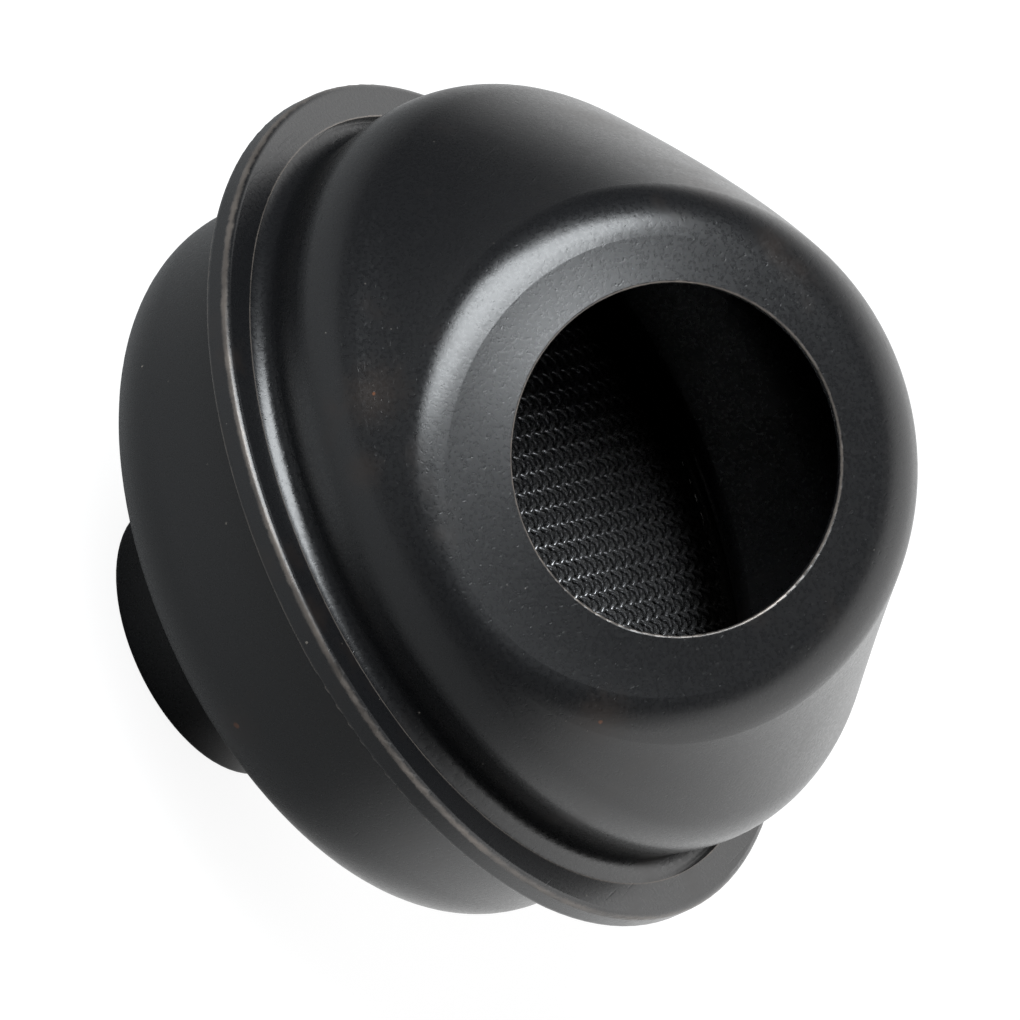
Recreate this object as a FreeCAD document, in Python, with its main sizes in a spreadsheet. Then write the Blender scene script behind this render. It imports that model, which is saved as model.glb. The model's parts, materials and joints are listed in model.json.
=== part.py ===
"""Crankcase ventilation filter: two pressed shells folded together over a wire screen.

The frame has +Z along the axis of the neck, with the origin at the middle of the neck's end.
The mouth of the front shell faces -Y and up. All sizes are in millimetres and degrees.
"""
import FreeCAD, Part
import Sketcher
import math
import os

Vector = FreeCAD.Vector

SIZES = {
    # Pressed sheet and the seam that joins the two shells
    "sheet_thickness": 0.8,
    "screen_rim_thickness": 0.5,
    "seam_height": 37.65,
    "fold_width": 3.7,
    "fold_edge_gap": 0.1,
    "fold_corner_radius": 0.7,
    "seam_side_clearance": 0.3,
    # Rear shell, a bowl with its neck drawn in one
    "bowl_radius": 38.05,
    "bowl_corner_height": 17.8,
    "bowl_corner_radius": 8.5,
    "bowl_floor_slope": 20.0,
    "bowl_lip_radius": 2.0,
    "neck_radius": 14.7,
    "neck_root_radius": 3.0,
    "neck_lip_width": 2.1,
    "neck_lip_round": 0.8,
    # Front shell, a dome with an oblique flat face
    "wall_step": 0.4,
    "wall_lip_radius": 1.9,
    "wall_spread": 2.4,
    "shoulder_radius": 11.0,
    "near_shoulder_height": 7.0,
    "near_flank_angle": 19.5,
    "near_flank_bulge": 0.3,
    "far_shoulder_height": 11.3,
    "far_flank_angle": 46.4,
    "far_flank_bulge": 1.4,
    "face_tilt": 40.0,
    "face_margin": 8.9,
    "face_shift": -0.4,
    "face_rim_inset": 1.5,
    "face_rim_height": 14.4233,
    "face_edge_radius": 5.7,
    # Mouth in the oblique face
    "mouth_radius": 17.5,
    "mouth_edge_round": 0.3,
    # Wire screens on both sides of the packing
    "wire_height": 0.6,
    "wire_width": 1.6,
    "wire_crossing": 0.1,
    "wire_pitch": 7.0,
    "weave_angle": 28.0,
    "inlet_ring_step": 0.7,
    "outlet_ring_overlap": 8.8,
    "outlet_ring_width": 2.2,
    "outlet_seat_gap": 0.1,
    # Packing of knitted wire between the screens
    "packing_side_gap": 0.3,
    "packing_end_gap": 0.1,
}

# How far an edge may lie from where it is looked for, on plain, leaning and lofted walls
EDGE_MATCH = 0.01
LEAN_MATCH = 0.4
LOFT_MATCH = 0.02

# Most of the near flank that the dome's shoulder round may take
FLANK_SHARE = 0.7

# Angle that a sketch or a screen starts with before its expression turns it
START_TURN = 10

document = FreeCAD.newDocument("crankcase_ventilation_filter")
sheet = document.addObject("Spreadsheet::Sheet", "sizes")
for row, (name, value) in enumerate(SIZES.items(), start=1):
    sheet.set(f"A{row}", name)
    sheet.set(f"B{row}", str(value))
    sheet.setAlias(f"B{row}", name)
document.recompute()


def cell(name):
    """Write the reference to one named size for use in an expression."""
    if name not in SIZES:
        raise KeyError(name)
    return f"<<sizes>>.{name}"


SHEET = cell("sheet_thickness")
RIM = cell("screen_rim_thickness")
SEAM_HEIGHT = cell("seam_height")

# Heights of the layers in the seam, from the rear flange up to the fold that holds them
STACK = f"(3 * {SHEET} + {RIM})"
SEAM_BOTTOM = f"({SEAM_HEIGHT} - {STACK} / 2)"
SCREEN_SEAT = f"({SEAM_BOTTOM} + {SHEET})"
FRONT_FLANGE_BOTTOM = f"({SCREEN_SEAT} + {RIM})"
FRONT_FLANGE_TOP = f"({FRONT_FLANGE_BOTTOM} + {SHEET})"
SEAM_TOP = f"({FRONT_FLANGE_TOP} + {SHEET})"


# The dome's shoulder round may not run past its near flank into the round at the face's rim
NEAR_ANGLE = f"({cell('near_flank_angle')} * 1 deg)"
FACE_EDGE_TURN = f"(90 deg - {cell('face_tilt')} * 1 deg - {NEAR_ANGLE})"
FACE_EDGE_REACH = f"({cell('face_edge_radius')} * tan({FACE_EDGE_TURN} / 2) * cos({NEAR_ANGLE}))"
FLANK_ROOM = f"({cell('face_rim_height')} - {cell('near_shoulder_height')} - {FACE_EDGE_REACH})"
SHOULDER_LIMIT = f"({FLANK_SHARE} * {FLANK_ROOM} / (tan({NEAR_ANGLE} / 2) * (1 + cos({NEAR_ANGLE}))))"
SHOULDER_RADIUS = f"min({cell('shoulder_radius')}; {SHOULDER_LIMIT})"


def shoulder_level(side):
    """Height of the dome's shoulder corner on its near or far side, as an expression.

    The corner is where the straight wall and flank would meet without their round.
    """
    half_turn = f"({cell(f'{side}_flank_angle')} / 2 * 1 deg)"
    rise = f"{cell(f'{side}_shoulder_height')} + {SHOULDER_RADIUS} * tan({half_turn})"
    return f"({SEAM_HEIGHT} + {rise})"


# Radii of the seam, from the bowl's wall out past the front wall and its lip to the fold. The
# front wall leans out most on its near side, so its lip reaches furthest there.
WALL_BASE = f"({cell('bowl_radius')} + {cell('wall_step')})"
WALL_LIP = cell("wall_lip_radius")
LEAN = f"atan({cell('wall_spread')} / ({shoulder_level('near')} - {FRONT_FLANGE_BOTTOM}))"
LIP_END = f"({WALL_BASE} + {SHEET} * tan({LEAN}) + {WALL_LIP} / tan(45 deg - {LEAN} / 2))"
FOLD_INNER_RADIUS = f"({LIP_END} + {cell('fold_edge_gap')})"
SEAM_RADIUS = f"({FOLD_INNER_RADIUS} + {cell('fold_width')})"
FLANGE_RADIUS = f"({SEAM_RADIUS} - {SHEET} - {cell('seam_side_clearance')})"

# Oblique flat face, from its near rim past the mouth's middle to its far rim
FACE_TILT = f"({cell('face_tilt')} * 1 deg)"
FACE_RADIUS = f"({cell('mouth_radius')} + {cell('face_margin')})"
MOUTH_SPAN = f"({FACE_RADIUS} - {cell('face_shift')})"

# Sloping floor of the bowl, met by the neck below and by the wall above
SLOPE = f"tan({cell('bowl_floor_slope')} * 1 deg)"
FLOOR_RISE = f"({SHEET} / cos({cell('bowl_floor_slope')} * 1 deg))"
BOWL_RADIUS = cell("bowl_radius")
NECK_RADIUS = cell("neck_radius")
NECK_ROOT_HEIGHT = f"({cell('bowl_corner_height')} - ({BOWL_RADIUS} - {NECK_RADIUS}) * {SLOPE})"


def floor_height(radius):
    """Height of the bowl's inner floor at a radius, as an expression."""
    return f"({NECK_ROOT_HEIGHT} + ({radius} - {NECK_RADIUS}) * {SLOPE} + {FLOOR_RISE})"


def as_millimetres(expression):
    """Give a bare number the unit of length that a sketch or feature wants."""
    return f"({expression}) * 1 mm"


def value_of(expression):
    """Work out an expression as a plain number."""
    result = sheet.evalExpression(expression)
    return float(getattr(result, "Value", result))


def new_body(name):
    body = document.addObject("PartDesign::Body", name)
    body.Label = name
    return body


def origin_plane(body, role):
    for feature in body.Origin.OriginFeatures:
        if feature.Role == role:
            return feature
    raise LookupError(role)


def new_sketch(body, name, role="XY_Plane"):
    sketch = body.newObject("Sketcher::SketchObject", name)
    sketch.AttachmentSupport = [(origin_plane(body, role), "")]
    sketch.MapMode = "FlatFace"
    return sketch


def raise_sketch(sketch, height):
    sketch.setExpression(".AttachmentOffset.Base.z", as_millimetres(height))


def tilt_sketch(sketch, y, z, angle):
    """Move a sketch along Y and Z and turn it about X, by expressions."""
    turn = FreeCAD.Rotation(Vector(1, 0, 0), START_TURN)
    sketch.AttachmentOffset = FreeCAD.Placement(Vector(0, 0, 0), turn)
    sketch.setExpression(".AttachmentOffset.Base.y", as_millimetres(y))
    sketch.setExpression(".AttachmentOffset.Base.z", as_millimetres(z))
    sketch.setExpression(".AttachmentOffset.Rotation.Angle", f"({angle}) * 1 deg")


def add_circle(sketch, name, radius):
    """Draw a circle about the sketch's origin, with a radius bound to an expression."""
    start = value_of(radius)
    index = sketch.addGeometry(Part.Circle(Vector(0, 0, 0), Vector(0, 0, 1), start), False)
    sketch.addConstraint(Sketcher.Constraint("Coincident", index, 3, -1, 1))
    number = sketch.addConstraint(Sketcher.Constraint("Radius", index, start))
    sketch.renameConstraint(number, name)
    sketch.setExpression(f"Constraints.{name}", as_millimetres(radius))
    return index


def add_half_circles(sketch, name, radius):
    """Draw a circle as two halves that meet on the sketch's second axis."""
    start = value_of(radius)
    circle = Part.Circle(Vector(0, 0, 0), Vector(0, 0, 1), start)
    quarter = math.pi / 2
    right = sketch.addGeometry(Part.ArcOfCircle(circle, -quarter, quarter), False)
    left = sketch.addGeometry(Part.ArcOfCircle(circle, quarter, 3 * quarter), False)
    sketch.addConstraint(Sketcher.Constraint("Coincident", right, 3, -1, 1))
    sketch.addConstraint(Sketcher.Constraint("Coincident", left, 3, -1, 1))
    sketch.addConstraint(Sketcher.Constraint("Coincident", right, 2, left, 1))
    sketch.addConstraint(Sketcher.Constraint("Coincident", left, 2, right, 1))
    sketch.addConstraint(Sketcher.Constraint("PointOnObject", right, 1, -2))
    sketch.addConstraint(Sketcher.Constraint("PointOnObject", right, 2, -2))
    number = sketch.addConstraint(Sketcher.Constraint("Radius", right, start))
    sketch.renameConstraint(number, name)
    sketch.setExpression(f"Constraints.{name}", as_millimetres(radius))


def add_outline(sketch, corners):
    """Draw a closed outline through named corners, each a pair of expressions.

    The sketch's first axis is the radius and its second is the height.
    """
    names = list(corners)
    points = [Vector(value_of(radius), value_of(height), 0) for radius, height in corners.values()]
    count = len(points)
    for index in range(count):
        sketch.addGeometry(Part.LineSegment(points[index], points[(index + 1) % count]), False)
    for index in range(count):
        sketch.addConstraint(Sketcher.Constraint("Coincident", index, 2, (index + 1) % count, 1))
    for index, name in enumerate(names):
        radius, height = corners[name]
        place_x = sketch.addConstraint(Sketcher.Constraint("DistanceX", -1, 1, index, 1, points[index].x))
        sketch.renameConstraint(place_x, f"{name}_radius")
        sketch.setExpression(f"Constraints.{name}_radius", as_millimetres(radius))
        place_y = sketch.addConstraint(Sketcher.Constraint("DistanceY", -1, 1, index, 1, points[index].y))
        sketch.renameConstraint(place_y, f"{name}_height")
        sketch.setExpression(f"Constraints.{name}_height", as_millimetres(height))


def revolve(body, name, corners):
    """Turn an outline about Z."""
    sketch = new_sketch(body, f"{name}_outline", "XZ_Plane")
    add_outline(sketch, corners)
    turned = body.newObject("PartDesign::Revolution", name)
    turned.Profile = sketch
    turned.ReferenceAxis = (sketch, ["V_Axis"])
    turned.Angle = 360
    document.recompute()
    return turned


def ring_edges(feature, radius, height, slack=EDGE_MATCH):
    """Name the circular edges of a feature that lie at a radius and a height about Z."""
    wanted_radius = value_of(radius)
    wanted_height = value_of(height)
    found = []
    for index, edge in enumerate(feature.Shape.Edges, start=1):
        spots = edge.discretize(7)
        level = all(abs(spot.z - wanted_height) < EDGE_MATCH for spot in spots)
        round_z = all(abs(math.hypot(spot.x, spot.y) - wanted_radius) < slack for spot in spots)
        if level and round_z:
            found.append(f"Edge{index}")
    if not found:
        raise LookupError(f"{feature.Name}: no edge at radius {wanted_radius}, height {wanted_height}")
    return found


def round_edges(body, name, base, edges, radius):
    """Fillet edges with a radius bound to an expression."""
    fillet = body.newObject("PartDesign::Fillet", name)
    fillet.Base = (base, edges)
    fillet.Radius = value_of(radius)
    fillet.setExpression("Radius", as_millimetres(radius))
    document.recompute()
    return fillet


def build_rear_shell():
    """Bowl, neck and seam fold, pressed from one sheet."""
    body = new_body("rear_shell")
    neck_inner = f"({NECK_RADIUS} - {SHEET})"
    bowl_inner = f"({BOWL_RADIUS} - {SHEET})"
    lip = f"({NECK_RADIUS} - {cell('neck_lip_width')})"
    corner = cell("bowl_corner_height")
    outline = {
        "neck_end": (NECK_RADIUS, "0"),
        "neck_root": (NECK_RADIUS, NECK_ROOT_HEIGHT),
        "bowl_corner": (BOWL_RADIUS, corner),
        "flange_root": (BOWL_RADIUS, SEAM_BOTTOM),
        "seam_bottom": (SEAM_RADIUS, SEAM_BOTTOM),
        "seam_top": (SEAM_RADIUS, SEAM_TOP),
        "fold_edge_top": (FOLD_INNER_RADIUS, SEAM_TOP),
        "fold_edge_bottom": (FOLD_INNER_RADIUS, FRONT_FLANGE_TOP),
        "pocket_top": (f"({SEAM_RADIUS} - {SHEET})", FRONT_FLANGE_TOP),
        "pocket_bottom": (f"({SEAM_RADIUS} - {SHEET})", SCREEN_SEAT),
        "bowl_mouth": (bowl_inner, SCREEN_SEAT),
        "bowl_corner_inside": (bowl_inner, floor_height(bowl_inner)),
        "neck_root_inside": (neck_inner, floor_height(neck_inner)),
        "lip_root": (neck_inner, SHEET),
        "lip_top": (lip, SHEET),
        "lip_end": (lip, "0"),
    }
    solid = revolve(body, "rear_shell_turn", outline)
    rounds = (
        ("bowl_corner_round", "bowl_corner", cell("bowl_corner_radius")),
        ("bowl_corner_inner_round", "bowl_corner_inside", f"({cell('bowl_corner_radius')} - {SHEET})"),
        ("neck_root_round", "neck_root", cell("neck_root_radius")),
        ("neck_root_inner_round", "neck_root_inside", f"({cell('neck_root_radius')} + {SHEET})"),
        ("flange_root_round", "flange_root", cell("bowl_lip_radius")),
        ("bowl_mouth_round", "bowl_mouth", f"({cell('bowl_lip_radius')} + {SHEET})"),
        ("seam_bottom_round", "seam_bottom", cell("fold_corner_radius")),
        ("seam_top_round", "seam_top", cell("fold_corner_radius")),
        ("neck_end_round", "neck_end", cell("neck_lip_round")),
    )
    for name, corner_name, radius in rounds:
        edges = ring_edges(solid, *outline[corner_name])
        solid = round_edges(body, name, solid, edges, radius)
    return body


def dome_corners():
    """Near and far corners of the dome's straight profile in the plane of symmetry.

    The near side is -Y, under the mouth, and the far side is +Y. Each entry has the reach from
    the axis and the height of both corners. The corners at the shoulder and at the face's rim
    are rounded afterwards, so each lies where the straight runs would meet.
    """
    wall = f"({WALL_BASE} + {cell('wall_spread')})"
    near_rim_reach = f"({wall} - {cell('face_rim_inset')})"
    near_rim = (near_rim_reach, f"({SEAM_HEIGHT} + {cell('face_rim_height')})")
    face_run = f"(2 * {FACE_RADIUS} * cos({FACE_TILT}))"
    face_rise = f"(2 * {FACE_RADIUS} * sin({FACE_TILT}))"
    far_rim = (f"({face_run} - {near_rim_reach})", f"({near_rim[1]} + {face_rise})")

    shoulders = {side: (wall, shoulder_level(side)) for side in ("near", "far")}

    def flank(side, rim):
        start = shoulders[side]
        bulge = cell(f"{side}_flank_bulge")
        angle = f"({cell(f'{side}_flank_angle')} * 1 deg)"
        reach = f"(({start[0]} + {rim[0]}) / 2 + {bulge} * cos({angle}))"
        level = f"(({start[1]} + {rim[1]}) / 2 + {bulge} * sin({angle}))"
        return reach, level

    base = (WALL_BASE, FRONT_FLANGE_BOTTOM)
    return {
        "base": (base, base),
        "shoulder": (shoulders["near"], shoulders["far"]),
        "flank": (flank("near", near_rim), flank("far", far_rim)),
        "face_rim": (near_rim, far_rim),
    }


def section_sketch(body, name, near, far):
    """Draw a circle through a near and a far point of the dome."""
    rise = f"({far[1]} - {near[1]})"
    run = f"({far[0]} + {near[0]})"
    sketch = new_sketch(body, f"{name}_section")
    middle_y = f"({far[0]} - {near[0]}) / 2"
    middle_z = f"({far[1]} + {near[1]}) / 2"
    tilt_sketch(sketch, middle_y, middle_z, f"atan({rise} / {run}) / 1 deg")
    add_half_circles(sketch, "section_radius", f"(sqrt({rise} ^ 2 + {run} ^ 2) / 2)")
    return sketch


def section_edges(feature, near, far):
    """Name the edges of a feature on the circle through a near and a far point."""
    near_point = Vector(0, -value_of(near[0]), value_of(near[1]))
    far_point = Vector(0, value_of(far[0]), value_of(far[1]))
    centre = (near_point + far_point) / 2
    radius = (far_point - near_point).Length / 2
    normal = Vector(1, 0, 0).cross(far_point - near_point)
    normal.normalize()
    found = []
    for index, edge in enumerate(feature.Shape.Edges, start=1):
        spots = [spot - centre for spot in edge.discretize(7)]
        on_ball = all(abs(spot.Length - radius) < LOFT_MATCH for spot in spots)
        on_plane = all(abs(spot.dot(normal)) < LOFT_MATCH for spot in spots)
        if on_ball and on_plane:
            found.append(f"Edge{index}")
    if not found:
        raise LookupError(f"{feature.Name}: no edge on the circle at height {centre.z}")
    return found


def build_front_shell():
    """Oblique dome with its flange and mouth, pressed from one sheet."""
    body = new_body("front_shell")
    corners = dome_corners()
    sections = {name: section_sketch(body, name, *pair) for name, pair in corners.items()}

    wall = body.newObject("PartDesign::AdditiveLoft", "wall")
    wall.Profile = sections["base"]
    wall.Sections = [sections["shoulder"]]
    wall.Ruled = True
    flank = body.newObject("PartDesign::AdditiveLoft", "flank")
    flank.Profile = sections["shoulder"]
    flank.Sections = [sections["flank"], sections["face_rim"]]
    document.recompute()
    edges = section_edges(flank, *corners["shoulder"])
    solid = round_edges(body, "shoulder_round", flank, edges, SHOULDER_RADIUS)
    edges = section_edges(solid, *corners["face_rim"])
    solid = round_edges(body, "face_edge_round", solid, edges, cell("face_edge_radius"))

    base_level = value_of(FRONT_FLANGE_BOTTOM)
    open_faces = []
    for index, face in enumerate(solid.Shape.Faces, start=1):
        if abs(face.CenterOfMass.z - base_level) < EDGE_MATCH:
            open_faces.append(f"Face{index}")
    shell = body.newObject("PartDesign::Thickness", "sheet_wall")
    shell.Base = (solid, open_faces)
    shell.setExpression("Value", as_millimetres(SHEET))
    shell.Reversed = True
    document.recompute()

    ring = new_sketch(body, "flange_ring")
    raise_sketch(ring, FRONT_FLANGE_BOTTOM)
    add_circle(ring, "flange_radius", FLANGE_RADIUS)
    add_circle(ring, "flange_root_radius", f"({WALL_BASE} - {SHEET} / 2)")
    flange = body.newObject("PartDesign::Pad", "flange")
    flange.Profile = ring
    flange.setExpression("Length", as_millimetres(SHEET))
    document.recompute()
    edges = ring_edges(flange, WALL_BASE, FRONT_FLANGE_TOP, slack=LEAN_MATCH)
    solid = round_edges(body, "flange_root_round", flange, edges, WALL_LIP)
    edges = ring_edges(solid, f"({WALL_BASE} - {SHEET})", FRONT_FLANGE_BOTTOM, slack=LEAN_MATCH / 2)
    solid = round_edges(body, "flange_root_inner_round", solid, edges, f"({WALL_LIP} + {SHEET})")

    near_rim = corners["face_rim"][0]
    mouth_reach = f"({near_rim[0]} - {MOUTH_SPAN} * cos({FACE_TILT}))"
    mouth_z = f"({near_rim[1]} + {MOUTH_SPAN} * sin({FACE_TILT}))"
    mouth_sketch = new_sketch(body, "mouth_outline")
    tilt_sketch(mouth_sketch, f"-{mouth_reach}", mouth_z, cell("face_tilt"))
    add_circle(mouth_sketch, "mouth_radius", cell("mouth_radius"))
    mouth = body.newObject("PartDesign::Pocket", "mouth")
    mouth.Profile = mouth_sketch
    mouth.setExpression("Length", as_millimetres(f"2 * {SHEET}"))
    volume_before = solid.Shape.Volume
    document.recompute()
    least_cut = 0.9 * math.pi * value_of(cell("mouth_radius")) ** 2 * value_of(SHEET)
    if volume_before - mouth.Shape.Volume < least_cut:
        raise RuntimeError("the mouth isn't open")
    across = f"{cell('mouth_radius')} * cos({FACE_TILT})"
    upward = f"{cell('mouth_radius')} * sin({FACE_TILT})"
    near = (f"({mouth_reach} + {across})", f"({mouth_z} - {upward})")
    far = (f"({across} - {mouth_reach})", f"({mouth_z} + {upward})")
    round_edges(body, "mouth_round", mouth, section_edges(mouth, near, far), cell("mouth_edge_round"))
    print(f"mouth at Y {-value_of(mouth_reach):.4f}, Z {value_of(mouth_z):.4f} mm")
    return body


def bind(item, values):
    """Bind lengths of a primitive to expressions."""
    for name, expression in values.items():
        item.setExpression(name, as_millimetres(expression))


def add_cylinder(name, radius, bottom, height):
    cylinder = document.addObject("Part::Cylinder", name)
    bind(cylinder, {"Radius": radius, "Height": height, ".Placement.Base.z": bottom})
    return cylinder


def combine(kind, name, first, second):
    """Join two solids with a boolean."""
    result = document.addObject(f"Part::{kind}", name)
    result.Base = first
    result.Tool = second
    return result


def build_screen(label, ring_outer, ring_inner, ring_bottom, ring_height):
    """Screen of crossed wires held in a flat ring.

    The wires of one layer lie along X and those of the other along Y, and the two layers
    press into each other where they cross, as in a rolled weave. The whole screen is then
    turned about Z.
    """
    pitch = cell("wire_pitch")
    wire_height = cell("wire_height")
    wire_width = cell("wire_width")
    crossing = cell("wire_crossing")
    middle = f"({ring_bottom} + {ring_height} / 2)"
    reach = f"({ring_inner} + {wire_height} / 2)"
    count = int(2 * value_of(ring_inner) / value_of(pitch))
    levels = {
        "lower": f"({middle} - {wire_height} + {crossing} / 2)",
        "upper": f"({middle} - {crossing} / 2)",
    }
    wires = []
    for layer, level in levels.items():
        along, across = ("x", "y") if layer == "lower" else ("y", "x")
        length, width = ("Length", "Width") if layer == "lower" else ("Width", "Length")
        for index in range(count):
            wire = document.addObject("Part::Box", f"{label}_{layer}_wire_{index + 1}")
            offset = f"(({index} - ({count} - 1) / 2) * {pitch} - {wire_width} / 2)"
            bind(wire, {
                length: f"2 * {reach}",
                width: wire_width,
                "Height": wire_height,
                f".Placement.Base.{along}": f"-{reach}",
                f".Placement.Base.{across}": offset,
                ".Placement.Base.z": level,
            })
            wires.append(wire)
    grid = document.addObject("Part::MultiFuse", f"{label}_grid")
    grid.Shapes = wires
    disc = add_cylinder(f"{label}_disc", reach, levels["lower"], f"(2 * {wire_height})")
    weave = combine("Common", f"{label}_weave", grid, disc)
    blank = add_cylinder(f"{label}_ring_blank", ring_outer, ring_bottom, ring_height)
    hole = add_cylinder(f"{label}_ring_hole", ring_inner, ring_bottom, ring_height)
    ring = combine("Cut", f"{label}_ring", blank, hole)
    screen = combine("Fuse", label, ring, weave)
    screen.Label = label
    screen.Placement = FreeCAD.Placement(Vector(0, 0, 0), FreeCAD.Rotation(Vector(0, 0, 1), START_TURN))
    screen.setExpression(".Placement.Rotation.Angle", f"{cell('weave_angle')} * 1 deg")
    document.recompute()
    return screen


# Half of the weave's height that stands out of a screen's middle
WEAVE_HALF = f"({cell('wire_height')} - {cell('wire_crossing')} / 2)"
OUTLET_RADIUS = f"({NECK_RADIUS} + {cell('outlet_ring_overlap')})"
OUTLET_SEAT = f"({floor_height(OUTLET_RADIUS)} + {cell('outlet_seat_gap')})"


def build_packing():
    """Pad of knitted wire that fills the bowl between the two screens."""
    body = new_body("filter_packing")
    side_gap = cell("packing_side_gap")
    end_gap = cell("packing_end_gap")
    wall = f"({BOWL_RADIUS} - {SHEET} - {side_gap})"
    bottom = f"({OUTLET_SEAT} + {RIM} / 2 + {WEAVE_HALF} + {end_gap})"
    top = f"({SCREEN_SEAT} + {RIM} / 2 - {WEAVE_HALF} - {end_gap})"
    lift = f"({side_gap} / cos({cell('bowl_floor_slope')} * 1 deg))"
    floor_edge = f"({NECK_RADIUS} + ({bottom} - {lift} - {floor_height(NECK_RADIUS)}) / {SLOPE})"
    outline = {
        "bottom_middle": ("0", bottom),
        "bottom_edge": (floor_edge, bottom),
        "wall_bottom": (wall, f"({floor_height(wall)} + {lift})"),
        "wall_top": (wall, top),
        "top_middle": ("0", top),
    }
    solid = revolve(body, "packing_turn", outline)
    edges = ring_edges(solid, *outline["wall_bottom"])
    corner_radius = f"({cell('bowl_corner_radius')} - {SHEET} - {side_gap})"
    round_edges(body, "packing_corner", solid, edges, corner_radius)
    return body


INLET_RING_INNER = f"({BOWL_RADIUS} - {SHEET} + {cell('inlet_ring_step')})"
OUTLET_RING_INNER = f"({OUTLET_RADIUS} - {cell('outlet_ring_width')})"

PIECES = (
    build_rear_shell(),
    build_front_shell(),
    build_screen("inlet_screen", FLANGE_RADIUS, INLET_RING_INNER, SCREEN_SEAT, RIM),
    build_packing(),
    build_screen("outlet_screen", OUTLET_RADIUS, OUTLET_RING_INNER, OUTLET_SEAT, RIM),
)

document.recompute()
for item in document.Objects:
    if "Invalid" in item.State or "Error" in item.State:
        raise RuntimeError(f"{item.Name}: {item.State}")
for piece in PIECES:
    if piece.Shape.isNull() or not piece.Shape.isValid() or len(piece.Shape.Solids) != 1:
        raise RuntimeError(f"{piece.Label} isn't one valid solid")

os.makedirs("parts", exist_ok=True)
for piece in PIECES:
    piece.Shape.exportStep(f"parts/{piece.Label}.step")
    box = piece.Shape.optimalBoundingBox(False, False)
    print(f"{piece.Label}: {piece.Shape.Volume:.0f} mm3, Z {box.ZMin:.2f} to {box.ZMax:.2f} mm")
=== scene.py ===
# %% [markdown]
# A crankcase ventilation filter is a small black canister: two pressed steel shells, folded
# together along a rim, with a fine wire screen clamped between them and a pad of knitted wire
# behind the screen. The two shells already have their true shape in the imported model, so this
# lesson keeps them and gives them paint. The screens and the pad are only coarse solids there,
# so they are made again here as woven and knitted wire.

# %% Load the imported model
import json
import math

import bpy
import numpy as np
from mathutils import Matrix, Vector


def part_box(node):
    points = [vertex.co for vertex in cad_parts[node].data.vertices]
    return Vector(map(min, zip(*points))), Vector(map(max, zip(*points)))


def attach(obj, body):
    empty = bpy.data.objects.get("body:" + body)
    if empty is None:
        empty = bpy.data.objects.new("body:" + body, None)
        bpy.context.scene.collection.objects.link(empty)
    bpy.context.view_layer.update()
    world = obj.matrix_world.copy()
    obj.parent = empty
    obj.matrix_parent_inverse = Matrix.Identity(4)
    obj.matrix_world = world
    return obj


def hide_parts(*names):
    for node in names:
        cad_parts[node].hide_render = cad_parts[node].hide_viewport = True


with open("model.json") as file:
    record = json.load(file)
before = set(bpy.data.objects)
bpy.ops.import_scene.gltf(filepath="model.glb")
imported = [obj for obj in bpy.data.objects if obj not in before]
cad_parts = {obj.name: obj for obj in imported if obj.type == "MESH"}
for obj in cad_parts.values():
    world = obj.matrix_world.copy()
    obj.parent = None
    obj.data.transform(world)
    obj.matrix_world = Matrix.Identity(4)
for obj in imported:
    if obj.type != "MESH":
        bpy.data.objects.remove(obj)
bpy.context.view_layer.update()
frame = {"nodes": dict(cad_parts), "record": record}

MM = 0.001
print("packed nodes:", sorted(frame["nodes"]))

# %% [markdown]
# Every piece below is a grid of points worked out with numpy. One helper turns such a grid
# into a mesh. A grid may close on itself in either direction, as a ring or a tube does, and
# then its last row is joined to its first. The faces are quads in one fixed order, so they all
# face the same way.

# %% A grid of points becomes a mesh
def mesh_from(name, points, quads):
    """Make a smooth mesh object from an array of points (metres) and an array of quads."""
    mesh = bpy.data.meshes.new(name)
    mesh.vertices.add(len(points))
    mesh.vertices.foreach_set("co", np.ascontiguousarray(points, dtype=np.float32).ravel())
    mesh.loops.add(quads.size)
    mesh.loops.foreach_set("vertex_index", np.ascontiguousarray(quads, dtype=np.int32).ravel())
    mesh.polygons.add(len(quads))
    mesh.polygons.foreach_set("loop_start", np.arange(len(quads), dtype=np.int32) * 4)
    mesh.update(calc_edges=True)
    mesh.polygons.foreach_set("use_smooth", np.ones(len(quads), dtype=bool))
    mesh.validate()
    piece = bpy.data.objects.new(name, mesh)
    bpy.context.scene.collection.objects.link(piece)
    print(name, "-", len(points), "points,", len(quads), "quads")
    return piece


def ring_quads(rows, columns, closed_rows):
    """Quads between neighbours of a grid whose columns close on themselves.

    A point's number is its row times the columns plus its column. Each quad joins a point, its
    neighbour in the row, and the same two in the next row.
    """
    row = np.arange(rows if closed_rows else rows - 1)[:, None]
    column = np.arange(columns)[None, :]
    below = (row + 1) % rows
    right = (column + 1) % columns
    here = row * columns
    next_row = below * columns
    corners = (here + column, here + right, next_row + right, next_row + column)
    shape = (len(row), columns)
    return np.stack([np.broadcast_to(corner, shape) for corner in corners], -1).reshape(-1, 4)


# %% [markdown]
# The screen is plain woven wire: each wire goes over one crossing wire and under the next.
# Seen from the side a wire is a cosine wave whose half period is the distance between wires,
# and its neighbour is the same wave half a period on. A tube carried along that wave, with its
# ring turned to follow the slope, is the whole wire. All wires of one direction are worked out
# at once, as one array of wire by step by ring point, and the steps beyond the round edge are
# dropped.

# %% Woven wires
WIRE_PITCH = 1.36 * MM
WIRE_RADIUS = 0.29 * MM
WEAVE_TURN = math.radians(28)
RING_POINTS = 8
STEPS_PER_PITCH = 4
RIM_HALF_THICKNESS = 0.24 * MM
RIM_STEPS = 128
WIRE_INTO_RIM = 0.3 * MM


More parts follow.
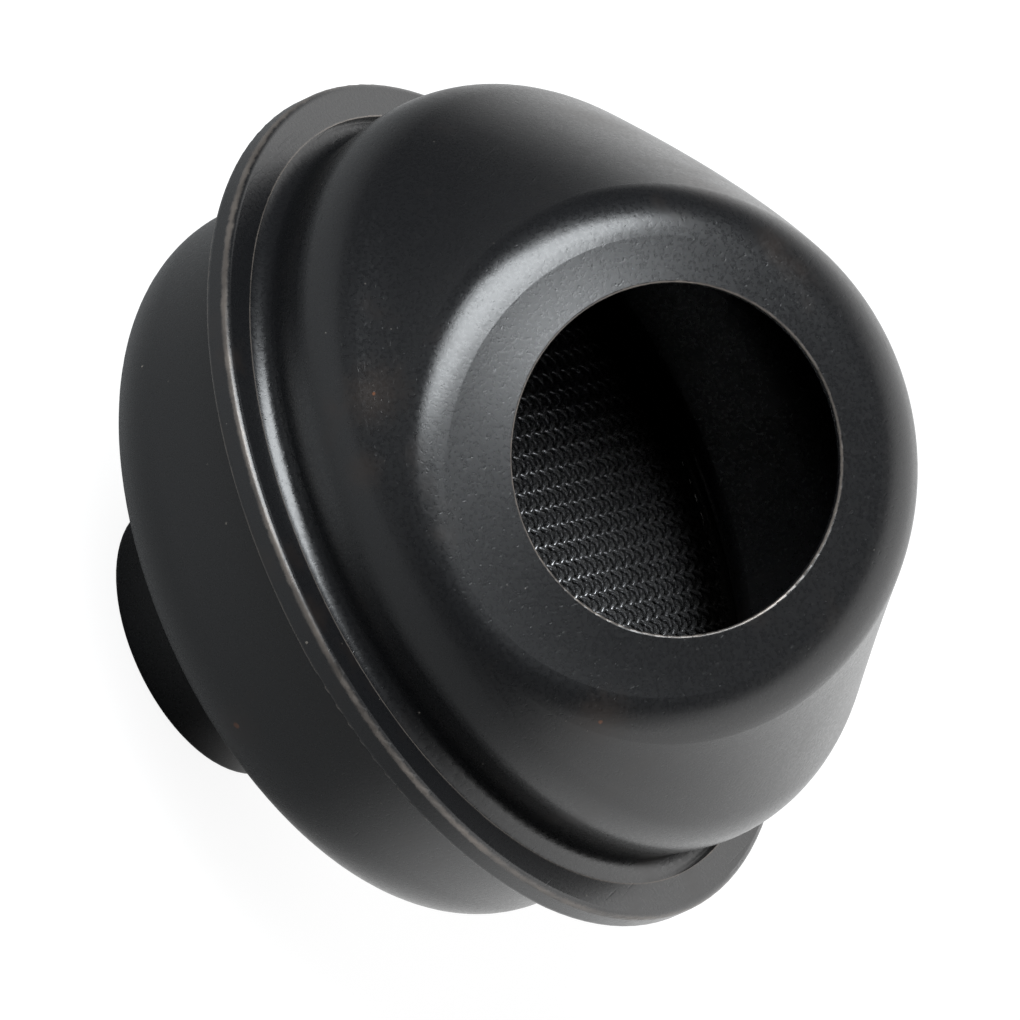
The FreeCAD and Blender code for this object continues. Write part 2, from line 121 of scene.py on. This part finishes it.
def woven_wires(name, radius, height, turn, phase):
    """One direction of a round woven screen.

    Height along a wire is the wire's radius times cos(pi times the distance over the pitch),
    and its sign changes from one wire to the next. The ring's two directions are the wave's
    own normal and the line across the wires.
    """
    per_side = int((radius - WIRE_RADIUS) / WIRE_PITCH)
    number = np.arange(-per_side, per_side + 1)
    offset = number * WIRE_PITCH
    half_length = np.sqrt(radius ** 2 - offset ** 2)
    step = WIRE_PITCH / STEPS_PER_PITCH
    reach = int(radius / step) + 2
    travel = np.arange(-reach, reach + 1) * step
    kept = np.abs(travel)[None, :] < half_length[:, None] + step * 0.5
    along = np.clip(travel[None, :], -half_length[:, None], half_length[:, None])
    wave = math.pi * along / WIRE_PITCH + math.pi * number[:, None] + phase
    lift = WIRE_RADIUS * np.cos(wave)
    slope = -WIRE_RADIUS * math.pi / WIRE_PITCH * np.sin(wave)
    length = np.sqrt(1 + slope ** 2)
    angle = np.arange(RING_POINTS) * 2 * math.pi / RING_POINTS
    outward = WIRE_RADIUS * np.cos(angle)
    sideways = WIRE_RADIUS * np.sin(angle)
    x = along[..., None] - (slope / length)[..., None] * outward
    y = offset[:, None, None] + sideways + np.zeros_like(x)
    z = height + lift[..., None] + (1 / length)[..., None] * outward
    turned_x = x * math.cos(turn) - y * math.sin(turn)
    turned_y = x * math.sin(turn) + y * math.cos(turn)
    points = np.stack([turned_x, turned_y, z], -1)
    place = np.cumsum(kept.ravel()).reshape(kept.shape) - 1
    joined = kept[:, :-1] & kept[:, 1:]
    first = (place[:, :-1][joined] * RING_POINTS)[:, None]
    second = (place[:, 1:][joined] * RING_POINTS)[:, None]
    column = np.arange(RING_POINTS)[None, :]
    right = (column + 1) % RING_POINTS
    sides = np.stack([first + column, first + right, second + right, second + column], -1).reshape(-1, 4)
    is_first = kept & ~np.pad(kept[:, :-1], ((0, 0), (1, 0)))
    is_last = kept & ~np.pad(kept[:, 1:], ((0, 0), (0, 1)))
    start = (place[is_first] * RING_POINTS)[:, None, None]
    end = (place[is_last] * RING_POINTS)[:, None, None]
    cap = np.array([[0, 3, 2, 1], [0, 5, 4, 3], [0, 7, 6, 5]])[None]
    caps = np.concatenate([(start + cap).reshape(-1, 4), (end + cap[..., ::-1]).reshape(-1, 4)])
    return mesh_from(name, points[kept].reshape(-1, 3), np.concatenate([sides, caps]))


# %% [markdown]
# Each screen's wires end in a flat pressed rim. The rim is a small outline, carried once round
# the axis, and the same helper makes it for both screens. It is closed in both directions, so
# it has no seam and no pole.

# %% A profile carried round the axis
def turned(name, profile, steps):
    """Turn a closed outline of radius and height (metres) once about Z.

    A point at angle t is (radius cos t, radius sin t, height).
    """
    angle = np.arange(steps) * 2 * math.pi / steps
    radius, height = np.asarray(profile, dtype=float).T
    x = radius[:, None] * np.cos(angle)
    y = radius[:, None] * np.sin(angle)
    z = np.broadcast_to(height[:, None], x.shape)
    return mesh_from(name, np.stack([x, y, z], -1).reshape(-1, 3), ring_quads(len(radius), steps, True))


def screen(node, ring_width):
    """Two directions of wire and a rim, in the place of a packed screen."""
    low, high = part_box(node)
    middle = (low.z + high.z) / 2
    outer = high.x
    inner = outer - ring_width
    reach = inner + WIRE_INTO_RIM
    warp = woven_wires(f"{node}_warp", reach, middle, WEAVE_TURN, 0.0)
    weft = woven_wires(f"{node}_weft", reach, middle, WEAVE_TURN + math.pi / 2, math.pi)
    bottom = middle - RIM_HALF_THICKNESS
    top = middle + RIM_HALF_THICKNESS
    section = [(inner, bottom), (outer, bottom), (outer, top), (inner, top)]
    rim = turned(f"{node}_rim", section, RIM_STEPS)
    for piece in (warp, weft, rim):
        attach(piece, "root")
        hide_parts(node)
    return [warp, weft, rim]


INLET_RING_WIDTH = 5.88 * MM
OUTLET_RING_WIDTH = 2.2 * MM
inlet_pieces = screen("inlet_screen", INLET_RING_WIDTH)
outlet_pieces = screen("outlet_screen", OUTLET_RING_WIDTH)

# %% [markdown]
# Behind the screens lies a pad of knitted wire, of which only dark crumpled strands show
# through the weave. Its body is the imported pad's outline, turned about the axis, with its
# height and radius stirred by a few sine waves.

# %% The pad's body
pad_low, pad_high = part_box("filter_packing")
PAD_STEPS = 160
PAD_RINGS = 40
PAD_CLEARANCE = 0.4 * MM
PAD_FLOOR_RADIUS = 20 * MM
PAD_HUB_RADIUS = 0.5 * MM
PAD_CORNER_SHARE = 0.94
PAD_CORNER_LOW = 7 * MM
PAD_CORNER_HIGH = 11 * MM
RADIAL_WAVE = 900
FINE_RADIAL_WAVE = 2300
SQUEEZE_SHARE = 0.006
STIR_HEIGHT = 0.25 * MM
STIR_START = 2 * MM


def pad_outline():
    """Radius and height of the pad from its lower middle, round the wall, to its upper middle."""
    wall = pad_high.x - PAD_CLEARANCE
    bottom = pad_low.z + PAD_CLEARANCE
    top = pad_high.z - PAD_CLEARANCE
    corners = np.array([
        (PAD_HUB_RADIUS, bottom),
        (PAD_FLOOR_RADIUS, bottom),
        (wall * PAD_CORNER_SHARE, bottom + PAD_CORNER_LOW),
        (wall, bottom + PAD_CORNER_HIGH),
        (wall, top),
        (PAD_HUB_RADIUS, top),
    ])
    run = np.concatenate([[0], np.cumsum(np.hypot(*np.diff(corners, axis=0).T))])
    spot = np.linspace(0, run[-1], PAD_RINGS)
    return np.stack([np.interp(spot, run, corners[:, 0]), np.interp(spot, run, corners[:, 1])], -1)


outline = pad_outline()
angle = np.arange(PAD_STEPS) * 2 * math.pi / PAD_STEPS
radius = outline[:, :1]
stir = np.sin(9 * angle + radius * RADIAL_WAVE)
stir = stir * np.sin(radius * FINE_RADIAL_WAVE + 2 * np.sin(5 * angle))
squeeze = 1 - SQUEEZE_SHARE * (1 + stir)
x = radius * np.cos(angle) * squeeze
y = radius * np.sin(angle) * squeeze
z = outline[:, 1:] + STIR_HEIGHT * stir * np.clip(radius / STIR_START, 0, 1)
pad_points = np.stack([x, y, z], -1).reshape(-1, 3)
pad_points = np.concatenate([pad_points, [[0, 0, outline[0, 1]], [0, 0, outline[-1, 1]]]])
pad_quads = ring_quads(PAD_RINGS, PAD_STEPS, False)
hub = np.arange(0, PAD_STEPS, 2)
centre_low = np.full_like(hub, PAD_RINGS * PAD_STEPS)
low_cap = np.stack([centre_low, (hub + 2) % PAD_STEPS, hub + 1, hub], -1)
top_row = (PAD_RINGS - 1) * PAD_STEPS
last_hub = top_row + (hub + 2) % PAD_STEPS
high_cap = np.stack([centre_low + 1, top_row + hub, top_row + hub + 1, last_hub], -1)
pad = mesh_from("knitted_pad", pad_points, np.concatenate([pad_quads, low_cap, high_cap]))
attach(pad, "root")
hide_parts("filter_packing")

# %% [markdown]
# The paint is a thin satin black over pressed steel. Up close it isn't even: it has a fine
# grain, brown tints where it is thin, dust and fine scratches, and bare steel where the seam and
# the mouth have rubbed. Each of these is a mask worked out from Object coordinates, so it stays
# with its piece. A small class keeps the node code short: each call adds a node, joins it and
# hands back its result.

# %% Short ways to add shader nodes
class Finish:
    """A new material, with short ways to add nodes to it."""

    def __init__(self, name):
        self.material = bpy.data.materials.new(name)
        self.material.use_nodes = True
        self.nodes = self.material.node_tree.nodes
        self.links = self.material.node_tree.links
        self.surface = self.nodes["Principled BSDF"]
        self.place = self.nodes.new("ShaderNodeTexCoord").outputs["Object"]

    def give(self, socket, value):
        """Join a node's result to a socket, or set the socket to a plain value."""
        if isinstance(value, bpy.types.NodeSocket):
            self.links.new(value, socket)
        else:
            socket.default_value = value

    def calc(self, operation, *values):
        """Arithmetic on plain numbers and results."""
        node = self.nodes.new("ShaderNodeMath")
        node.operation = operation
        for socket, value in zip(node.inputs, values):
            self.give(socket, value)
        return node.outputs[0]

    def vector(self, operation, first, second=(0, 0, 0)):
        """Vector arithmetic. A dot product or a distance gives a number, the rest a vector."""
        node = self.nodes.new("ShaderNodeVectorMath")
        node.operation = operation
        self.give(node.inputs[0], first)
        self.give(node.inputs[1], second)
        return node.outputs["Value" if operation in ("DOT_PRODUCT", "DISTANCE") else "Vector"]

    def span(self, value, low, high, to_low=0.0, to_high=1.0):
        """Carry a result smoothly from one span of numbers to another, and hold it at the ends."""
        node = self.nodes.new("ShaderNodeMapRange")
        node.interpolation_type = "SMOOTHSTEP"
        self.give(node.inputs["Value"], value)
        self.give(node.inputs["From Min"], low)
        self.give(node.inputs["From Max"], high)
        self.give(node.inputs["To Min"], to_low)
        self.give(node.inputs["To Max"], to_high)
        return node.outputs["Result"]

    def noise(self, size, detail=3.0, roughness=0.5, place=None):
        """Cloudy noise whose blots are about as large as the given size in metres."""
        node = self.nodes.new("ShaderNodeTexNoise")
        self.links.new(place or self.place, node.inputs["Vector"])
        node.inputs["Scale"].default_value = 1 / size
        node.inputs["Detail"].default_value = detail
        node.inputs["Roughness"].default_value = roughness
        return node.outputs[0]

    def specks(self, spacing, size, share):
        """Round specks of a size, on a share of the cells of a scattered grid."""
        node = self.nodes.new("ShaderNodeTexVoronoi")
        self.links.new(self.place, node.inputs["Vector"])
        node.inputs["Scale"].default_value = 1 / spacing
        near = self.span(node.outputs["Distance"], size / spacing, 0.4 * size / spacing)
        lot = self.vector("DOT_PRODUCT", node.outputs["Color"], (1, 0, 0))
        chosen = self.calc("LESS_THAN", lot, share)
        return self.calc("MULTIPLY", near, chosen)

    def circle_distance(self, centre, axis, radius):
        """Distance from a circle in space, in metres."""
        arm = self.vector("SUBTRACT", self.place, centre)
        height = self.vector("DOT_PRODUCT", arm, axis)
        height_squared = self.calc("MULTIPLY", height, height)
        flat_squared = self.calc("SUBTRACT", self.vector("DOT_PRODUCT", arm, arm), height_squared)
        beyond = self.calc("SUBTRACT", self.calc("SQRT", flat_squared), radius)
        return self.calc("SQRT", self.calc("MULTIPLY_ADD", beyond, beyond, height_squared))

    def blend(self, share, first, second):
        """Mix two colours."""
        node = self.nodes.new("ShaderNodeMix")
        node.data_type = "RGBA"
        self.give(node.inputs[0], share)
        self.give(node.inputs[6], first)
        self.give(node.inputs[7], second)
        return node.outputs[2]

    def relief(self, height, depth):
        """Raise the surface by a result times a depth in metres."""
        node = self.nodes.new("ShaderNodeBump")
        node.inputs["Distance"].default_value = depth
        self.give(node.inputs["Height"], height)
        self.give(self.surface.inputs["Normal"], node.outputs[0])


# %% [markdown]
# Both shells get the same paint, but each has its own worn edges. On the rear shell these are
# the seam's ridge, its rear corner and the cut edge of the fold, and on the front shell the
# mouth's edge. A worn edge is the distance from a circle, made ragged by noise. The stains are
# soft balls at the places where the real one has them. The flat face around the mouth also gets
# a wide and shallow relief, because pressing leaves such a face slightly crowned, and its
# reflections tell.

# %% Satin black paint
BLACK = (0.0052, 0.0054, 0.0060, 1)
THIN_BROWN = (0.017, 0.0105, 0.0070, 1)
RUST = (0.085, 0.030, 0.012, 1)
DUST = (0.20, 0.18, 0.155, 1)
BARE_STEEL = (0.20, 0.175, 0.155, 1)
PAINT_ROUGHNESS = 0.26
PAINT_INDEX = 1.6
STAIN_SHARE = 0.55
GRAIN_HEIGHT = 0.010 * MM
GRAIN_SIZE = 0.38 * MM
RAGGED_SIZE = 0.9 * MM
PATCH_SIZE = 5 * MM
CLOUD_SIZE = 11 * MM
SCRATCH_WIDTH = 0.35 * MM
SCRATCH_TURN = (0.5, 0.3, 0.9)
SCRATCH_STRETCH = (1.0, 0.035, 1.0)

# Dust: the spacing of its cells, a speck's size, and the share of the cells that hold one
COARSE_DUST = (5.5 * MM, 0.19 * MM, 0.55)
FINE_DUST = (2.2 * MM, 0.085 * MM, 0.5)


def satin_black_paint(name, worn_circles, stains, rust_spots, crowned_face=None):
    """Thin satin black paint with worn edges, brown stains, dust and fine scratches."""
    paint = Finish(name)
    grain = paint.noise(GRAIN_SIZE, 2.0, 0.6)
    cloud = paint.noise(CLOUD_SIZE, 4.0, 0.6)
    ragged = paint.noise(RAGGED_SIZE, 4.0, 0.7)
    patchy = paint.noise(PATCH_SIZE, 2.0)

    # Thin paint shows brown in faint clouds, and more at the stains
    brown = paint.span(cloud, 0.56, 0.80, 0.0, 0.45)
    for centre, reach, strength in stains:
        away = paint.vector("DISTANCE", paint.place, centre)
        edge = paint.calc("MULTIPLY_ADD", ragged, reach, away)
        blot = paint.span(edge, 1.5 * reach, 0.4 * reach, 0.0, STAIN_SHARE * strength)
        brown = paint.calc("MAXIMUM", brown, blot)
    colour = paint.blend(brown, BLACK, THIN_BROWN)

    # Rust shows in a few small spots
    for centre, reach in rust_spots:
        away = paint.vector("DISTANCE", paint.place, centre)
        edge = paint.calc("MULTIPLY_ADD", ragged, reach, away)
        spot = paint.span(edge, 1.1 * reach, 0.8 * reach)
        colour = paint.blend(spot, colour, RUST)

    # Dust is a few coarse specks and many fine ones
    coarse = paint.specks(*COARSE_DUST)
    fine = paint.specks(*FINE_DUST)
    dust = paint.calc("MAXIMUM", coarse, paint.calc("MULTIPLY", fine, 0.70))
    colour = paint.blend(paint.calc("MULTIPLY", dust, 0.75), colour, DUST)

    # Bare steel shows along the worn circles
    bare = 0.0
    for centre, axis, radius, reach, strength in worn_circles:
        away = paint.circle_distance(centre, axis, radius)
        torn = paint.calc("MULTIPLY_ADD", ragged, 1.1 * reach, away)
        line = paint.span(torn, 1.45 * reach, 0.65 * reach, 0.0, strength)
        line = paint.calc("MULTIPLY", line, paint.span(patchy, 0.30, 0.62, 0.45, 1.0))
        bare = paint.calc("MAXIMUM", bare, line)
    colour = paint.blend(bare, colour, BARE_STEEL)
    paint.surface.inputs["IOR"].default_value = PAINT_INDEX
    paint.give(paint.surface.inputs["Base Color"], colour)
    paint.give(paint.surface.inputs["Metallic"], paint.calc("MULTIPLY", bare, 0.70))

    # Gloss varies with the grain, and dust, brown places and bare steel are duller
    gloss = paint.span(grain, 0.3, 0.7, PAINT_ROUGHNESS - 0.035, PAINT_ROUGHNESS + 0.035)
    gloss = paint.calc("MULTIPLY_ADD", brown, 0.10, gloss)
    gloss = paint.calc("MULTIPLY_ADD", cloud, 0.06, gloss)
    gloss = paint.calc("MULTIPLY_ADD", dust, 0.40, gloss)
    gloss = paint.calc("MULTIPLY_ADD", bare, 0.08, gloss)
    paint.give(paint.surface.inputs["Roughness"], gloss)

    # Scratches are noise drawn out along one slanting direction
    stretch = paint.nodes.new("ShaderNodeMapping")
    stretch.inputs["Rotation"].default_value = SCRATCH_TURN
    stretch.inputs["Scale"].default_value = SCRATCH_STRETCH
    paint.links.new(paint.place, stretch.inputs["Vector"])
    hairs = paint.noise(SCRATCH_WIDTH, 1.0, 0.5, stretch.outputs[0])
    scratch = paint.span(hairs, 0.66, 0.74)
    height = paint.calc("MULTIPLY_ADD", ragged, 0.6, grain)
    height = paint.calc("MULTIPLY_ADD", dust, 3.0, height)
    height = paint.calc("MULTIPLY_ADD", scratch, -0.8, height)

    # Pressing left the flat face slightly crowned, which shows only in what it mirrors
    if crowned_face:
        middle, reach, drop = crowned_face
        outward = paint.vector("DISTANCE", paint.place, middle)
        fall = paint.span(outward, 0.0, reach, 0.0, drop / GRAIN_HEIGHT)
        height = paint.calc("SUBTRACT", height, fall)
    paint.relief(height, GRAIN_HEIGHT)
    return paint.material


AXIS = (0, 0, 1)
rear_low, rear_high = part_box("rear_shell")
SEAM_RADIUS = rear_high.x
SEAM_TOP = rear_high.z
SEAM_THICKNESS = 2.9 * MM
SEAM_BOTTOM = SEAM_TOP - SEAM_THICKNESS
FOLD_WIDTH = 3.7 * MM
FOLD_EDGE_RADIUS = SEAM_RADIUS - FOLD_WIDTH
NECK_EDGE_RADIUS = 14.4 * MM
mouth_mount = next(mount for mount in frame["record"]["mounts"] if mount["name"] == "mouth")
MOUTH_AXIS = Vector(mouth_mount["axis"])
MOUTH_RADIUS = mouth_mount["dims"]["r_mm"] * MM
MOUTH_RIM_RISE = 0.45 * MM
MOUTH_MIDDLE = Vector(mouth_mount["pos_m"]) + MOUTH_RIM_RISE * MOUTH_AXIS

# Each worn line: the circle's centre, axis and radius, how far it reaches, and its strength
seam_wear = [
    ((0, 0, SEAM_TOP - 0.45 * MM), AXIS, SEAM_RADIUS - 0.12 * MM, 0.50 * MM, 0.60),
    ((0, 0, SEAM_BOTTOM + 0.25 * MM), AXIS, SEAM_RADIUS - 0.20 * MM, 0.26 * MM, 0.85),
    ((0, 0, SEAM_TOP), AXIS, FOLD_EDGE_RADIUS, 0.20 * MM, 0.85),
    ((0, 0, rear_low.z + 0.3 * MM), AXIS, NECK_EDGE_RADIUS, 0.20 * MM, 0.35),
]
mouth_wear = [
    (MOUTH_MIDDLE, MOUTH_AXIS, MOUTH_RADIUS + 0.1 * MM, 0.24 * MM, 0.85),
]

# Each stain: its middle, how far it reaches, and its strength
flank_stain = Vector((-21.5, -33.0, 51.4)) * MM
low_flank_stain = Vector((-15.8, -37.2, 48.5)) * MM
right_flank_stain = Vector((17.9, -34.0, 55.4)) * MM
top_stain = Vector((-20.3, -0.2, 77.3)) * MM
far_stain = Vector((-28.3, 14.4, 62.1)) * MM
bowl_stain = Vector((2.1, -37.5, 21.0)) * MM
flank_stains = [
    (flank_stain, 5.0 * MM, 0.9),
    (low_flank_stain, 3.0 * MM, 0.7),
    (right_flank_stain, 4.5 * MM, 1.0),
    (top_stain, 6.0 * MM, 0.8),
    (far_stain, 8.0 * MM, 0.8),
]
bowl_stains = [(bowl_stain, 4.0 * MM, 0.6)]

# Each rust spot: its middle and its size
flank_rust = [(flank_stain, 0.35 * MM), (right_flank_stain, 0.45 * MM)]
bowl_rust = [(bowl_stain, 0.7 * MM)]

CROWN_REACH = 28.0 * MM
CROWN_DROP = 2.4 * MM
crowned_face = (MOUTH_MIDDLE, CROWN_REACH, CROWN_DROP)
dome_marks = (mouth_wear, flank_stains, flank_rust, crowned_face)
shell_paint = {
    "rear_shell": satin_black_paint("bowl_paint", seam_wear, bowl_stains, bowl_rust),
    "front_shell": satin_black_paint("dome_paint", *dome_marks),
}
for node, paint in shell_paint.items():
    frame["nodes"][node].data.materials.clear()
    frame["nodes"][node].data.materials.append(paint)
    print(node, "has", paint.name, "with", len(paint.node_tree.nodes), "nodes")

# %% [markdown]
# The screens are drawn steel wire, dark with age. The crowns of the weave, its highest points,
# are painted lighter than its slopes, as a painted highlight, and are glossier too. Towards the
# rim they are painted darker, as painted shade under the shell. The pad's knitted wire is darker
# still, and the gaps between its strands are painted near black, as painted shade.

# %% Wire
PAINTED_RIM_SHADE = (0.012, 0.011, 0.010, 1)
DULL_WIRE = (0.27, 0.27, 0.275, 1)
HIGHLIT_CROWN_WIRE = (0.95, 0.94, 0.93, 1)
PAINTED_GAP_SHADE = (0.006, 0.0055, 0.005, 1)
PAD_STRAND = (0.06, 0.06, 0.062, 1)
WIRE_ROUGHNESS = 0.24
POLISH = 0.4
RIM_SHADE_WIDTH = 8 * MM


def aged_wire_with_painted_light(name, crown_height, shaded_radius):
    """Steel wire with a painted highlight on its crowns, by height, and painted shade near the rim."""
    wire = Finish(name)
    grain = wire.noise(0.25 * MM, 3.0, 0.6)
    cloud = wire.noise(4 * MM, 3.0)
    above = wire.vector("DOT_PRODUCT", wire.place, (0, 0, 1))
    # A painted highlight: the crowns, the highest points of the weave, are painted lighter than the
    # slopes, in blots, and are glossier too
    crown = wire.span(above, crown_height - 0.12 * MM, crown_height + 0.02 * MM)
    crown_highlight_and_gloss = wire.calc("MULTIPLY", crown, wire.span(cloud, 0.3, 0.6, 0.35, 1.0))
    colour = wire.blend(crown_highlight_and_gloss, DULL_WIRE, HIGHLIT_CROWN_WIRE)
    # Painted shade: the colour darkens towards the rim, where the screen lies under the shell
    from_axis = wire.circle_distance((0, 0, crown_height), AXIS, 0.0)
    rim_shade = wire.span(from_axis, shaded_radius - RIM_SHADE_WIDTH, shaded_radius)
    colour = wire.blend(rim_shade, colour, PAINTED_RIM_SHADE)
    colour = wire.blend(wire.span(grain, 0.5, 0.8, 0.0, 0.4), colour, THIN_BROWN)
    wire.give(wire.surface.inputs["Base Color"], colour)
    wire.surface.inputs["Metallic"].default_value = 0.8
    dull = wire.span(grain, 0.3, 0.7, WIRE_ROUGHNESS - 0.05, WIRE_ROUGHNESS + 0.06)
    polished = wire.calc("MULTIPLY_ADD", crown_highlight_and_gloss, -POLISH * WIRE_ROUGHNESS, dull)
    wire.give(wire.surface.inputs["Roughness"], polished)
    wire.relief(grain, 0.006 * MM)
    return wire.material


for pieces, node in ((inlet_pieces, "inlet_screen"), (outlet_pieces, "outlet_screen")):
    low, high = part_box(node)
    crown_height = (low.z + high.z) / 2 + 2 * WIRE_RADIUS
    finish = aged_wire_with_painted_light(f"{node}_wire", crown_height, high.x - RIM_SHADE_WIDTH)
    for piece in pieces:
        piece.data.materials.append(finish)


def knitted_wire():
    """Dark knitted wire: crossing strands, with the gaps between them painted near black as painted
    shade.
    """
    knit = Finish("dark_knitted_wire")
    strands = []
    for turn in (0.6, -0.6):
        slant = knit.nodes.new("ShaderNodeMapping")
        slant.inputs["Rotation"].default_value = (0, 0, turn)
        slant.inputs["Scale"].default_value = (1.0, 0.15, 0.6)
        knit.links.new(knit.place, slant.inputs["Vector"])
        strands.append(knit.span(knit.noise(0.8 * MM, 2.0, 0.5, slant.outputs[0]), 0.5, 0.62))
    strand = knit.calc("MAXIMUM", *strands)
    # The gaps between the strands are painted near black, as painted shade
    knit.give(knit.surface.inputs["Base Color"], knit.blend(strand, PAINTED_GAP_SHADE, PAD_STRAND))
    knit.give(knit.surface.inputs["Metallic"], knit.calc("MULTIPLY", strand, 0.7))
    knit.surface.inputs["Roughness"].default_value = 0.45
    knit.relief(strand, 0.15 * MM)
    return knit.material


pad.data.materials.append(knitted_wire())
print("wire finishes:", [finish.name for finish in bpy.data.materials if "wire" in finish.name])

# %% [markdown]
# The camera looks down on the leaning dome and is rolled, so that the canister's axis runs from
# lower left to upper right. Its three directions are written as one matrix. A long lens far
# away keeps the rims true ellipses.

# %% Camera
TURN = math.radians(10.7)
LEAN = math.radians(59.77)
front = Vector((-math.sin(TURN), -math.cos(TURN), 0))
side = Vector((math.cos(TURN), -math.sin(TURN), 0))
up = Vector((0, 0, 1))
toward = math.sin(LEAN) * front + math.cos(LEAN) * up
rise = math.sin(LEAN) * up - math.cos(LEAN) * front
ROLL = math.radians(24.96)
VIEW_WIDTH = 102.13 * MM
AIM_HEIGHT = 37.2 * MM
AIM_RIGHT = 1.632 * MM
AIM_UP = -0.431 * MM
SENSOR_WIDTH = 36
picture_right = math.cos(ROLL) * rise + math.sin(ROLL) * side
picture_up = math.sin(ROLL) * rise - math.cos(ROLL) * side
aim = Vector((0, 0, AIM_HEIGHT)) + AIM_RIGHT * picture_right + AIM_UP * picture_up
DISTANCE = 3.0
camera_data = bpy.data.cameras.new("camera")
camera_data.sensor_width = SENSOR_WIDTH
camera_data.lens = SENSOR_WIDTH * DISTANCE / VIEW_WIDTH
camera_data.clip_start = 0.05
camera_data.clip_end = 20
camera = bpy.data.objects.new("camera", camera_data)
place = Matrix((picture_right, picture_up, toward)).transposed().to_4x4()
place.translation = aim + DISTANCE * toward
camera.matrix_world = place
bpy.context.scene.collection.objects.link(camera)
bpy.context.scene.camera = camera
print("camera lens", round(camera_data.lens), "mm at", DISTANCE, "m")

# %% [markdown]
# A product like this is photographed on a white sweep, with one large soft light above the
# camera, a small dim one beside it and a dark room behind it. Black paint shows little but
# reflections, so the surroundings are built with care: they are white behind and below the
# canister, fade to dark on the camera's side, and the paint mirrors that as bright edges and a
# dark middle. The floor takes the canister's shadow and is lifted to white only where the camera
# looks at it. Where paint mirrors the floor, it brightens towards the back like the rest of the
# room.

# %% Floor, world and light
SURROUND_LEVEL = 1.5
FLOOR_MIRROR_LEVEL = 1.0
DARK_SIDE_LEVEL = 0.03
FADE_START = 0.0
FADE_END = 0.62
FLOOR_LIFT = 0.90
FLOOR_GREY = (0.20, 0.20, 0.20, 1)
FLOOR_REACH = 6.0
FLOOR_GAP = 0.2 * MM
MIDDLE = Vector((0, 0, 45 * MM))
behind_and_below = (0.5 * picture_right - 0.5 * picture_up - 0.7 * toward).normalized()


def white_sweep():
    """Matt grey that keeps its shadows, lifted to white for the camera, and behind for mirrors."""
    white = Finish("white_floor")
    white.surface.inputs["Base Color"].default_value = FLOOR_GREY
    white.surface.inputs["Roughness"].default_value = 0.9
    path = white.nodes.new("ShaderNodeLightPath")
    white.surface.inputs["Emission Color"].default_value = (1, 1, 1, 1)
    away = white.vector("NORMALIZE", white.vector("SUBTRACT", white.place, MIDDLE))
    backward = white.vector("DOT_PRODUCT", away, behind_and_below)
    fade = white.span(backward, FADE_START, FADE_END, 0.0, FLOOR_MIRROR_LEVEL)
    mirrored = white.calc("MULTIPLY", path.outputs["Is Glossy Ray"], fade)
    glow = white.calc("MULTIPLY_ADD", path.outputs["Is Camera Ray"], FLOOR_LIFT, mirrored)
    white.give(white.surface.inputs["Emission Strength"], glow)
    return white.material


floor_data = bpy.data.meshes.new("floor")
corner_signs = ((-1, -1), (1, -1), (1, 1), (-1, 1))
corners = [(FLOOR_REACH * across, FLOOR_REACH * along, 0) for across, along in corner_signs]
floor_data.from_pydata(corners, [], [(0, 1, 2, 3)])
floor = bpy.data.objects.new("floor", floor_data)
floor.data.materials.append(white_sweep())
floor.location.z = -FLOOR_GAP
bpy.context.scene.collection.objects.link(floor)

world = bpy.data.worlds.new("studio")
bpy.context.scene.world = world
world.use_nodes = True
world_nodes = world.node_tree.nodes
world_links = world.node_tree.links


def world_node(kind, **sockets):
    """Add a node to the world and set or join its sockets by number."""
    node = world_nodes.new(kind)
    for number, value in sockets.items():
        socket = node.inputs[int(number.strip("s"))]
        if isinstance(value, bpy.types.NodeSocket):
            world_links.new(value, socket)
        else:
            socket.default_value = value
    return node


sight = world_node("ShaderNodeTexCoord").outputs["Generated"]
facing = world_node("ShaderNodeVectorMath", s0=sight, s1=behind_and_below)
facing.operation = "DOT_PRODUCT"
fade = world_node("ShaderNodeMapRange", s0=facing.outputs["Value"], s1=FADE_START, s2=FADE_END,
                  s3=DARK_SIDE_LEVEL, s4=SURROUND_LEVEL)
fade.interpolation_type = "SMOOTHSTEP"
surround = world_nodes["Background"]
surround.inputs["Color"].default_value = (1, 1, 1, 1)
world_links.new(fade.outputs["Result"], surround.inputs["Strength"])
backdrop = world_node("ShaderNodeBackground", s0=(1, 1, 1, 1), s1=1.0)
sight_line = world_node("ShaderNodeLightPath").outputs["Is Camera Ray"]
seen = world_node("ShaderNodeMixShader", s0=sight_line, s1=surround.outputs[0], s2=backdrop.outputs[0])
world_links.new(seen.outputs[0], world_nodes["World Output"].inputs["Surface"])


COOL_WHITE = (0.93, 0.97, 1.0)


def softbox(name, direction, distance, width, height, watts):
    """Rectangular soft light that points at the canister, with its width along the picture."""
    data = bpy.data.lights.new(name, "AREA")
    data.shape = "RECTANGLE"
    data.size = width
    data.size_y = height
    data.energy = watts
    data.color = COOL_WHITE
    lamp = bpy.data.objects.new(name, data)
    outward = direction.normalized()
    across = (picture_right - picture_right.dot(outward) * outward).normalized()
    place = Matrix((across, outward.cross(across), outward)).transposed().to_4x4()
    place.translation = MIDDLE + distance * outward
    lamp.matrix_world = place
    bpy.context.scene.collection.objects.link(lamp)
    print(name, "of", width, "by", height, "m at", distance, "m")
    return lamp


key_direction = 0.15 * picture_right + 0.56 * picture_up + 0.81 * toward
softbox("large_softbox", key_direction, distance=0.32, width=0.28, height=0.23, watts=2.3)
fill_direction = 0.50 * picture_right + 0.12 * picture_up + 0.86 * toward
softbox("small_softbox", fill_direction, distance=0.45, width=0.20, height=0.20, watts=0.07)
bpy.context.scene.view_settings.view_transform = "Standard"
